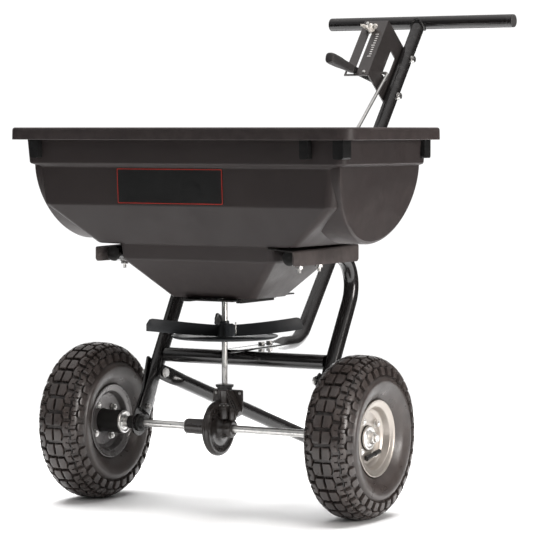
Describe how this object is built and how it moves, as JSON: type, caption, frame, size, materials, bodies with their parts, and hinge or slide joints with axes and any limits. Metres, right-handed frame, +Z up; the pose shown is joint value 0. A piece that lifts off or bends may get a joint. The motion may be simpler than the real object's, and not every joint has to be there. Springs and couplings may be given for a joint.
{
  "type": "garden spreader",
  "caption": "Push broadcast spreader: plastic hopper on a black tube frame, wheel-driven spreading disc, flow lever on the T-handle, and knobbly pneumatic tyres.",
  "frame": {"origin": "bottom centre of the whole machine's box, on the ground", "axes": "+X along the axle to the machine's right as seen from the front, +Y back towards the handle, +Z up"},
  "size_m": [0.652, 0.8896, 0.8452],
  "materials": {
    "hopper_plastic": "moulded, fine texture",
    "frame_paint": "gloss powder coat",
    "gearbox_plastic": "moulded, satin",
    "trim_plastic": "moulded, satin",
    "zinc": "zinc plated",
    "gear_steel": "plain sintered",
    "tyre_rubber": "knobbly tread",
    "rim_paint": "satin paint",
    "rim_paint_light": "satin paint",
    "impeller_plastic": "moulded, satin",
    "grip_vinyl": "dipped vinyl"
  },
  "bodies": {
    "frame": {"axle_bearing_left": "trim_plastic", "axle_bearing_right": "trim_plastic", "axle_bracket_left": "frame_paint", "axle_bracket_right": "frame_paint", "bracket_bolt_lower": "zinc", "bracket_bolt_upper": "zinc", "control_bracket": "frame_paint", "cross_tube": "frame_paint", "frame_leg_left": "frame_paint", "frame_leg_right": "frame_paint", "gate_track_left": "trim_plastic", "gate_track_right": "trim_plastic", "gearbox_case_left": "gearbox_plastic", "gearbox_case_right": "gearbox_plastic", "gearbox_collar": "gearbox_plastic", "handle_bar": "frame_paint", "handle_stem": "frame_paint", "hopper": "hopper_plastic", "hopper_bolt_left_front": "zinc", "hopper_bolt_left_rear": "zinc", "hopper_bolt_right_front": "zinc", "hopper_bolt_right_rear": "zinc", "lever_pivot": "zinc", "rear_stand": "frame_paint", "shaft_bushing": "trim_plastic", "stand_bolt_left": "zinc", "stand_bolt_right": "zinc", "stem_bolt": "zinc"},
    "drive_axle": {"axle": "zinc", "axle_cap_left": "zinc", "axle_cap_right": "zinc", "axle_snap_ring": "zinc", "axle_washer": "zinc", "bevel_gear": "gear_steel", "rim_bolt_right_1": "zinc", "rim_bolt_right_2": "zinc", "rim_bolt_right_3": "zinc", "rim_bolt_right_4": "zinc", "rim_inner_right": "rim_paint_light", "rim_outer_right": "rim_paint_light", "tyre_right": "tyre_rubber", "wheel_hub_right": "trim_plastic"},
    "free_wheel": {"rim_bolt_left_1": "zinc", "rim_bolt_left_2": "zinc", "rim_bolt_left_3": "zinc", "rim_bolt_left_4": "zinc", "rim_inner_left": "rim_paint", "rim_outer_left": "rim_paint", "tyre_left": "tyre_rubber", "wheel_hub_left": "trim_plastic"},
    "rotor": {"agitator": "gear_steel", "impeller": "impeller_plastic", "pinion_gear": "gear_steel", "vertical_shaft": "zinc"},
    "flow_lever": {"control_lever": "frame_paint", "lever_grip": "grip_vinyl"},
    "control_rod_link": {"control_rod": "zinc"},
    "gate": {"shutter_gate": "zinc"},
    "stop": {"stop_bolt": "zinc", "wing_nut": "zinc"}
  },
  "joints": [
    {"name": "axle_roll", "type": "hinge", "parent": "frame", "child": "drive_axle", "pos_m": [0, -0.27985, 0.1335], "axis": [1, 0, 0], "continuous": true},
    {"name": "left_wheel_roll", "type": "hinge", "parent": "frame", "child": "free_wheel", "pos_m": [-0.2565, -0.27985, 0.1335], "axis": [1, 0, 0], "continuous": true},
    {"name": "rotor_spin", "type": "hinge", "parent": "frame", "child": "rotor", "pos_m": [0, -0.27985, 0.27], "axis": [0, 0, 1], "continuous": true},
    {"name": "lever_swing", "type": "hinge", "parent": "frame", "child": "flow_lever", "pos_m": [-0.04, 0.33765, 0.72178], "axis": [-1, 0, 0], "range_deg": [0, 40]},
    {"name": "rod_swing", "type": "hinge", "parent": "flow_lever", "child": "control_rod_link", "pos_m": [-0.04, 0.30913, 0.73581], "axis": [-1, 0, 0], "range_deg": [-50, 0]},
    {"name": "gate_slide", "type": "slide", "parent": "frame", "child": "gate", "axis": [0, 1, 0], "range_m": [0, 0.035]},
    {"name": "stop_slide", "type": "slide", "parent": "frame", "child": "stop", "axis": [0, -0.6283, -0.778], "range_m": [0, 0.022]}
  ],
  "couplings": [
    {"joint": "rotor_spin", "follows": "axle_roll", "ratio": 4},
    {"joint": "rod_swing", "follows": "lever_swing", "ratio": -1.0512},
    {"joint": "gate_slide", "follows": "lever_swing", "m_per_rad": 0.04191}
  ]
}
